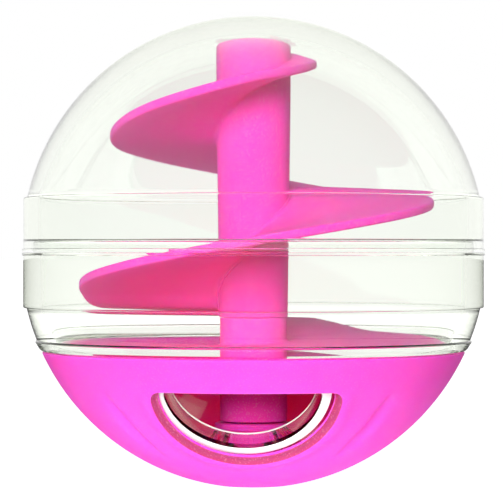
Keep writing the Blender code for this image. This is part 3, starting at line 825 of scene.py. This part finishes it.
def frosted_edge():
    """Clear plastic's moulded edge: it scatters light, so it looks white."""
    made, n = new_material("frosted_edge")
    output = n.add("ShaderNodeOutputMaterial")
    shader = n.add("ShaderNodeBsdfPrincipled")
    shader.inputs["IOR"].default_value = 1.49
    shader.inputs["Transmission Weight"].default_value = 0.25
    where = n.add("ShaderNodeTexCoord")
    grain = n.add("ShaderNodeTexNoise")
    grain.inputs["Scale"].default_value = 900.0
    grain.inputs["Detail"].default_value = 3.0
    tone = n.add("ShaderNodeMix", data_type="RGBA")
    tone.inputs["A"].default_value = (0.86, 0.90, 0.84, 1.0)
    tone.inputs["B"].default_value = (0.97, 0.98, 0.96, 1.0)
    gloss = n.add("ShaderNodeMapRange")
    gloss.inputs["To Min"].default_value = 0.35
    gloss.inputs["To Max"].default_value = 0.60
    n.join(where.outputs["Object"], grain.inputs["Vector"])
    n.join(grain.outputs["Fac"], tone.inputs["Factor"])
    n.join(tone.outputs["Result"], shader.inputs["Base Color"])
    n.join(grain.outputs["Fac"], gloss.inputs["Value"])
    n.join(gloss.outputs["Result"], shader.inputs["Roughness"])
    n.join(shader.outputs["BSDF"], output.inputs["Surface"])
    return made


def pink_plastic(name, tones, finish):
    """Tinted plastic between two tones; light goes in as far as depth, and red goes furthest."""
    grain_depth, speckle, shine, roughness, depth = finish
    made, n = new_material(name)
    output = n.add("ShaderNodeOutputMaterial")
    shader = n.add("ShaderNodeBsdfPrincipled")
    shader.inputs["IOR"].default_value = 1.5
    shader.inputs["Subsurface Weight"].default_value = 0.8
    shader.inputs["Subsurface Radius"].default_value = (1.0, 0.12, 0.35)
    shader.inputs["Subsurface Scale"].default_value = depth
    shader.inputs["Specular IOR Level"].default_value = shine
    where = n.add("ShaderNodeTexCoord")
    cloud = n.add("ShaderNodeTexNoise")
    cloud.inputs["Scale"].default_value = 60.0
    cloud.inputs["Detail"].default_value = 3.0
    tone = n.add("ShaderNodeMix", data_type="RGBA")
    tone.inputs["A"].default_value = (*tones[0], 1.0)
    tone.inputs["B"].default_value = (*tones[1], 1.0)
    dots = n.add("ShaderNodeTexNoise")
    dots.inputs["Scale"].default_value = 2600.0
    dots.inputs["Detail"].default_value = 2.0
    pick = n.add("ShaderNodeMapRange")
    pick.inputs["From Min"].default_value = 0.55
    pick.inputs["From Max"].default_value = 0.75
    pick.inputs["To Max"].default_value = speckle
    fleck = n.add("ShaderNodeMix", data_type="RGBA")
    fleck.inputs["B"].default_value = (*FLECK_TONE, 1.0)
    gloss = n.add("ShaderNodeMapRange")
    gloss.inputs["To Min"].default_value = roughness - 0.06
    gloss.inputs["To Max"].default_value = roughness + 0.08
    bump = n.add("ShaderNodeBump")
    bump.inputs["Strength"].default_value = 0.25
    bump.inputs["Distance"].default_value = grain_depth
    for noise in (cloud, dots):
        n.join(where.outputs["Object"], noise.inputs["Vector"])
    n.join(cloud.outputs["Fac"], tone.inputs["Factor"])
    n.join(dots.outputs["Fac"], pick.inputs["Value"])
    n.join(tone.outputs["Result"], fleck.inputs["A"])
    n.join(pick.outputs["Result"], fleck.inputs["Factor"])
    n.join(fleck.outputs["Result"], shader.inputs["Base Color"])
    n.join(cloud.outputs["Fac"], gloss.inputs["Value"])
    n.join(gloss.outputs["Result"], shader.inputs["Roughness"])
    n.join(dots.outputs["Fac"], bump.inputs["Height"])
    n.join(bump.outputs["Normal"], shader.inputs["Normal"])
    n.join(shader.outputs["BSDF"], output.inputs["Surface"])
    return made


def zinc_steel():
    """Zinc-plated steel, for the screw and its washer."""
    made, n = new_material("zinc_steel")
    output = n.add("ShaderNodeOutputMaterial")
    shader = n.add("ShaderNodeBsdfPrincipled")
    shader.inputs["Base Color"].default_value = (0.66, 0.66, 0.64, 1.0)
    shader.inputs["Metallic"].default_value = 1.0
    where = n.add("ShaderNodeTexCoord")
    noise = n.add("ShaderNodeTexNoise")
    noise.inputs["Scale"].default_value = 900.0
    noise.inputs["Detail"].default_value = 3.0
    gloss = n.add("ShaderNodeMapRange")
    gloss.inputs["To Min"].default_value = 0.2
    gloss.inputs["To Max"].default_value = 0.45
    bump = n.add("ShaderNodeBump")
    bump.inputs["Strength"].default_value = 0.2
    bump.inputs["Distance"].default_value = 0.00002
    n.join(where.outputs["Object"], noise.inputs["Vector"])
    n.join(noise.outputs["Fac"], gloss.inputs["Value"])
    n.join(gloss.outputs["Result"], shader.inputs["Roughness"])
    n.join(noise.outputs["Fac"], bump.inputs["Height"])
    n.join(bump.outputs["Normal"], shader.inputs["Normal"])
    n.join(shader.outputs["BSDF"], output.inputs["Surface"])
    return made


def paper_white():
    """The floor: white to the eye and through the clear halves, and dim in reflections.

    As light on dull surfaces it is strong close to the ball and fades to a little further out.
    """
    made, n = new_material("paper_white")
    output = n.add("ShaderNodeOutputMaterial")
    path = n.add("ShaderNodeLightPath")
    seen = n.add("ShaderNodeBsdfPrincipled")
    seen.inputs["Base Color"].default_value = (0.93, 0.93, 0.93, 1.0)
    seen.inputs["Roughness"].default_value = 0.9
    seen.inputs["Specular IOR Level"].default_value = 0.0
    seen.inputs["Emission Color"].default_value = (1.0, 1.0, 1.0, 1.0)
    seen.inputs["Emission Strength"].default_value = FLOOR_GLOW
    where = n.add("ShaderNodeTexCoord")
    reach = n.add("ShaderNodeVectorMath", operation="LENGTH")
    fade = n.add("ShaderNodeMapRange")
    fade.inputs["From Min"].default_value = FLOOR_NEAR
    fade.inputs["From Max"].default_value = FLOOR_FAR
    fade.inputs["To Min"].default_value = FLOOR_NEAR_LIGHT
    fade.inputs["To Max"].default_value = FLOOR_FAR_LIGHT
    fill = n.add("ShaderNodeEmission")
    mirrored = n.add("ShaderNodeEmission")
    mirrored.inputs["Strength"].default_value = FLOOR_MIRRORED
    n.join(where.outputs["Object"], reach.inputs["Vector"])
    n.join(reach.outputs["Value"], fade.inputs["Value"])
    n.join(fade.outputs["Result"], fill.inputs["Strength"])
    for_fill = n.add("ShaderNodeMixShader")
    n.join(path.outputs["Is Diffuse Ray"], for_fill.inputs["Fac"])
    n.join(seen.outputs["BSDF"], for_fill.inputs[1])
    n.join(fill.outputs["Emission"], for_fill.inputs[2])
    for_mirror = n.add("ShaderNodeMixShader")
    n.join(path.outputs["Is Glossy Ray"], for_mirror.inputs["Fac"])
    n.join(for_fill.outputs["Shader"], for_mirror.inputs[1])
    n.join(mirrored.outputs["Emission"], for_mirror.inputs[2])
    for_clear = n.add("ShaderNodeMixShader")
    n.join(path.outputs["Is Transmission Ray"], for_clear.inputs["Fac"])
    n.join(for_mirror.outputs["Shader"], for_clear.inputs[1])
    n.join(seen.outputs["BSDF"], for_clear.inputs[2])
    n.join(for_clear.outputs["Shader"], output.inputs["Surface"])
    return made


def finish_with(piece, *looks):
    slots = piece.data.materials
    if len(slots):
        slots.clear()
    for look in looks:
        slots.append(look)


# ---- studio ------------------------------------------------------------------------------------

# The camera looks level at the seam. Its shift moves the ball a little right and down in the frame.
CAMERA_DISTANCE = 0.55
CAMERA_AZIMUTH = 2.3
CAMERA_SENSOR = 36.0
CAMERA_LENS = 181.861
CAMERA_SHIFT_X = -0.003976
CAMERA_SHIFT_Y = 0.003976

# What the surroundings give: through the clear halves, in reflections and as light on dull surfaces.
BACKDROP_LIGHT = (1.04, 1.04, 1.04)
SIDE_LIGHT = (1.0, 1.0, 1.0)
FRONT_LIGHT = (0.05, 0.05, 0.05)
FILL_LIGHT = (0.07, 0.07, 0.07)
FLOOR_GLOW = 1.0
FLOOR_MIRRORED = 0.12

# The floor's light on dull surfaces, at two distances from the point under the ball.
FLOOR_NEAR = 0.045
FLOOR_NEAR_LIGHT = 1.9
FLOOR_FAR = 0.10
FLOOR_FAR_LIGHT = 0.15

# Each lamp's name, place and size in metres, and its power in watts.
LAMPS = (
    ("key", (-0.14, -0.97, 0.30), (0.50, 0.40), 18.5),
    ("low", (0.05, -0.80, 0.05), (0.60, 0.08), 0.4),
    ("top", (0.05, -0.1, 1.0), (0.5, 0.5), 1.2),
)


def camera():
    data = bpy.data.cameras.new("camera")
    data.sensor_width = CAMERA_SENSOR
    data.lens = CAMERA_LENS
    data.shift_x = CAMERA_SHIFT_X
    data.shift_y = CAMERA_SHIFT_Y
    data.clip_start = 0.02
    data.clip_end = 50.0
    made = bpy.data.objects.new("camera", data)
    turn = math.radians(CAMERA_AZIMUTH)
    x, y = math.sin(turn) * CAMERA_DISTANCE, -math.cos(turn) * CAMERA_DISTANCE
    made.location = (x, y, SEAM * MM)
    made.rotation_euler = (math.pi / 2.0, 0.0, turn)
    bpy.context.scene.collection.objects.link(made)
    bpy.context.scene.camera = made


def floor():
    bpy.ops.mesh.primitive_plane_add(size=30.0)
    made = bpy.context.object
    made.name = "studio_floor"
    finish_with(made, paper_white())


def softbox(name, place, size, power):
    data = bpy.data.lights.new(name, "AREA")
    data.shape = "RECTANGLE"
    data.size, data.size_y = size
    data.energy = power
    made = bpy.data.objects.new(name, data)
    made.location = place
    aim = Vector((0.0, 0.0, SEAM * MM)) - made.location
    made.rotation_euler = aim.to_track_quat("-Z", "Y").to_euler()
    made.visible_glossy = False
    made.visible_transmission = False
    made.visible_camera = False
    bpy.context.scene.collection.objects.link(made)


def surroundings():
    """White to the eye and through the clear halves, dim in reflections and as a fill light."""
    world = bpy.data.worlds.new("studio")
    world.use_nodes = True
    world.node_tree.nodes.clear()
    n = Nodes(world.node_tree)
    output = n.add("ShaderNodeOutputWorld")
    background = n.add("ShaderNodeBackground")
    where = n.add("ShaderNodeTexCoord")
    split = n.add("ShaderNodeSeparateXYZ")
    depth = n.add("ShaderNodeMapRange")
    depth.inputs["From Min"].default_value = -1.0
    seen = n.add("ShaderNodeValToRGB")
    stops = seen.color_ramp.elements
    stops[0].position = 0.5
    stops[0].color = (*FRONT_LIGHT, 1.0)
    stops[1].position = 0.95
    stops[1].color = (*SIDE_LIGHT, 1.0)
    path = n.add("ShaderNodeLightPath")
    for_clear = n.add("ShaderNodeMix", data_type="RGBA")
    for_clear.inputs["B"].default_value = (*BACKDROP_LIGHT, 1.0)
    for_fill = n.add("ShaderNodeMix", data_type="RGBA")
    for_fill.inputs["B"].default_value = (*FILL_LIGHT, 1.0)
    for_eye = n.add("ShaderNodeMix", data_type="RGBA")
    for_eye.inputs["B"].default_value = (1.0, 1.0, 1.0, 1.0)
    n.join(where.outputs["Generated"], split.inputs["Vector"])
    n.join(split.outputs["Y"], depth.inputs["Value"])
    n.join(depth.outputs["Result"], seen.inputs["Fac"])
    n.join(seen.outputs["Color"], for_clear.inputs["A"])
    n.join(path.outputs["Is Transmission Ray"], for_clear.inputs["Factor"])
    n.join(for_clear.outputs["Result"], for_fill.inputs["A"])
    n.join(path.outputs["Is Diffuse Ray"], for_fill.inputs["Factor"])
    n.join(for_fill.outputs["Result"], for_eye.inputs["A"])
    n.join(path.outputs["Is Camera Ray"], for_eye.inputs["Factor"])
    n.join(for_eye.outputs["Result"], background.inputs["Color"])
    n.join(background.outputs["Background"], output.inputs["Surface"])
    bpy.context.scene.world = world


def studio():
    scene = bpy.context.scene
    scene.view_settings.view_transform = "Standard"
    scene.cycles.max_bounces = 24
    scene.cycles.transmission_bounces = 24
    scene.cycles.glossy_bounces = 8
    scene.cycles.diffuse_bounces = 6
    scene.cycles.transparent_max_bounces = 32
    camera()
    floor()
    surroundings()
    for lamp in LAMPS:
        softbox(*lamp)


def main():
    studio()
    clear = clear_plastic()
    pink = pink_plastic("pink_plastic", BOWL_TONES, BOWL_FINISH)
    # The recess material's darker pink is painted shade for the recess round the bowl's window.
    shade = pink_plastic("pink_recess_painted_shade", RECESS_PAINTED_SHADE_TONES, RECESS_FINISH)
    textured = pink_plastic("pink_ramp_plastic", RAMP_TONES, RAMP_FINISH)
    steel = zinc_steel()
    frosted = frosted_edge()

    pieces = (
        (build_dome(), "lid", "top_dome", "clear_plastic", clear),
        (build_lower_shell(clear, frosted), "shell", "lower_shell", "clear_plastic", None),
        (build_bowl(pink, shade), "base", "outer_bowl", "pink_plastic", None),
        (build_spiral(), "spiral", "spiral_column", "pink_plastic", textured),
        (build_floor(), "shell", "ramp_floor", "pink_plastic", textured),
        (build_collar(), "base", "pivot_collar", "pink_plastic", pink),
    )
    for piece, body, node, slot, material in pieces:
        if material is not None:
            finish_with(piece, material)
        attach(piece, body)
        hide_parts(node)
    for node, material in (("pivot_screw", steel), ("screw_washer", steel), ("screw_cap", pink)):
        finish_with(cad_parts[node], material)


main()
